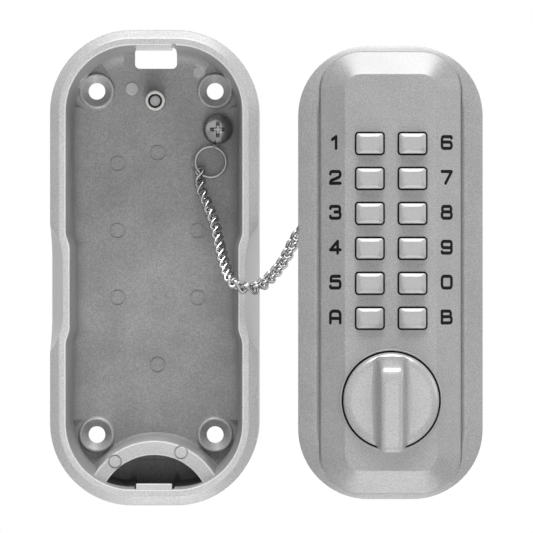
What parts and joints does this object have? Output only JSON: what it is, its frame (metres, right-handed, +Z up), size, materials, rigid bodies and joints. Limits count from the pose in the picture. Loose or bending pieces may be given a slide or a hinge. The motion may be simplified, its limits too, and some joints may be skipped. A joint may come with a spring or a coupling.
{
  "type": "mechanical key safe",
  "caption": "Wall-mounted key safe: a die-cast box with a key peg, and a lift-off cover on a chain that carries push-buttons, a turn knob and a sliding latch.",
  "frame": {"origin": "middle of the body's back face, which lies on the wall", "axes": "+Z up the wall, +Y into the wall, the front faces -Y, +X to the viewer's right"},
  "size_m": [0.1308, 0.0733, 0.1452],
  "materials": {
    "cast_silver": "satin",
    "bright_steel": "polished",
    "zinc_plate": "satin",
    "spring_steel": "satin",
    "satin_button": "satin",
    "brass": "satin",
    "dark_plastic": "matte"
  },
  "bodies": {
    "body": {"body_shell": "cast_silver", "slot_liner": "dark_plastic", "key_peg": "bright_steel", "key_peg_pin": "bright_steel", "chain_screw": "bright_steel", "chain_tag": "bright_steel", "chain_ring": "bright_steel", "chain_upper": "bright_steel"},
    "chain_run": {"chain_run": "bright_steel"},
    "chain_end": {"chain_end": "bright_steel"},
    "cover": {"cover_shell": "cast_silver", "mechanism_case": "zinc_plate", "rear_plate": "zinc_plate", "rear_screws": "bright_steel", "cover_chain_screw": "bright_steel", "button_springs": "spring_steel", "latch_spring": "spring_steel"},
    "latch": {"latch_slide": "zinc_plate"},
    "knob": {"knob": "cast_silver", "spindle": "zinc_plate", "cam": "zinc_plate", "spindle_clip": "spring_steel"},
    "button_1": {"button_1": "satin_button", "code_pin_1": "brass"},
    "button_2": {"button_2": "satin_button", "code_pin_2": "brass"},
    "button_3": {"button_3": "satin_button", "code_pin_3": "brass"},
    "button_4": {"button_4": "satin_button", "code_pin_4": "brass"},
    "button_5": {"button_5": "satin_button", "code_pin_5": "brass"},
    "button_a": {"button_a": "satin_button", "code_pin_a": "brass"},
    "button_6": {"button_6": "satin_button", "code_pin_6": "brass"},
    "button_7": {"button_7": "satin_button", "code_pin_7": "brass"},
    "button_8": {"button_8": "satin_button", "code_pin_8": "brass"},
    "button_9": {"button_9": "satin_button", "code_pin_9": "brass"},
    "button_0": {"button_0": "satin_button", "code_pin_0": "brass"},
    "button_b": {"button_b": "satin_button", "code_pin_b": "brass"}
  },
  "joints": [
    {"name": "cover_aside", "type": "slide", "parent": "body", "child": "chain_run", "axis": [0.9998, 0, -0.0211], "range_m": [-0.07122, 0], "deforming": ["chain_upper", "chain_run", "chain_end"]},
    {"name": "cover_lift", "type": "slide", "parent": "chain_run", "child": "chain_end", "axis": [0, -1, 0], "range_m": [-0.0185, 0], "deforming": ["chain_run", "chain_end"]},
    {"name": "cover_tilt", "type": "hinge", "parent": "chain_end", "child": "cover", "pos_m": [0.0712, -0.0507, 0.0663], "axis": [-1, 0, 0], "range_deg": [0, 25], "deforming": ["chain_end"]},
    {"name": "knob_turn", "type": "hinge", "parent": "cover", "child": "knob", "pos_m": [0.0712, -0.0507, -0.0395], "axis": [0, 1, 0], "range_deg": [0, 90]},
    {"name": "latch_throw", "type": "slide", "parent": "cover", "child": "latch", "axis": [0, 0, 1], "range_m": [0, 0.0026], "deforming": ["latch_spring"]},
    {"name": "button_1_press", "type": "slide", "parent": "cover", "child": "button_1", "axis": [0, 1, 0], "range_m": [0, 0.0018], "stiffness_N_per_m": 400, "springref_m": -0.001, "deforming": ["button_springs"]},
    {"name": "button_2_press", "type": "slide", "parent": "cover", "child": "button_2", "axis": [0, 1, 0], "range_m": [0, 0.0018], "stiffness_N_per_m": 400, "springref_m": -0.001, "deforming": ["button_springs"]},
    {"name": "button_3_press", "type": "slide", "parent": "cover", "child": "button_3", "axis": [0, 1, 0], "range_m": [0, 0.0018], "stiffness_N_per_m": 400, "springref_m": -0.001, "deforming": ["button_springs"]},
    {"name": "button_4_press", "type": "slide", "parent": "cover", "child": "button_4", "axis": [0, 1, 0], "range_m": [0, 0.0018], "stiffness_N_per_m": 400, "springref_m": -0.001, "deforming": ["button_springs"]},
    {"name": "button_5_press", "type": "slide", "parent": "cover", "child": "button_5", "axis": [0, 1, 0], "range_m": [0, 0.0018], "stiffness_N_per_m": 400, "springref_m": -0.001, "deforming": ["button_springs"]},
    {"name": "button_a_press", "type": "slide", "parent": "cover", "child": "button_a", "axis": [0, 1, 0], "range_m": [0, 0.0018], "stiffness_N_per_m": 400, "springref_m": -0.001, "deforming": ["button_springs"]},
    {"name": "button_6_press", "type": "slide", "parent": "cover", "child": "button_6", "axis": [0, 1, 0], "range_m": [0, 0.0018], "stiffness_N_per_m": 400, "springref_m": -0.001, "deforming": ["button_springs"]},
    {"name": "button_7_press", "type": "slide", "parent": "cover", "child": "button_7", "axis": [0, 1, 0], "range_m": [0, 0.0018], "stiffness_N_per_m": 400, "springref_m": -0.001, "deforming": ["button_springs"]},
    {"name": "button_8_press", "type": "slide", "parent": "cover", "child": "button_8", "axis": [0, 1, 0], "range_m": [0, 0.0018], "stiffness_N_per_m": 400, "springref_m": -0.001, "deforming": ["button_springs"]},
    {"name": "button_9_press", "type": "slide", "parent": "cover", "child": "button_9", "axis": [0, 1, 0], "range_m": [0, 0.0018], "stiffness_N_per_m": 400, "springref_m": -0.001, "deforming": ["button_springs"]},
    {"name": "button_0_press", "type": "slide", "parent": "cover", "child": "button_0", "axis": [0, 1, 0], "range_m": [0, 0.0018], "stiffness_N_per_m": 400, "springref_m": -0.001, "deforming": ["button_springs"]},
    {"name": "button_b_press", "type": "slide", "parent": "cover", "child": "button_b", "axis": [0, 1, 0], "range_m": [0, 0.0018], "stiffness_N_per_m": 400, "springref_m": -0.001, "deforming": ["button_springs"]}
  ],
  "couplings": [
    {"joint": "knob_turn", "follows": "latch_throw", "rad_per_m": 604.15}
  ]
}
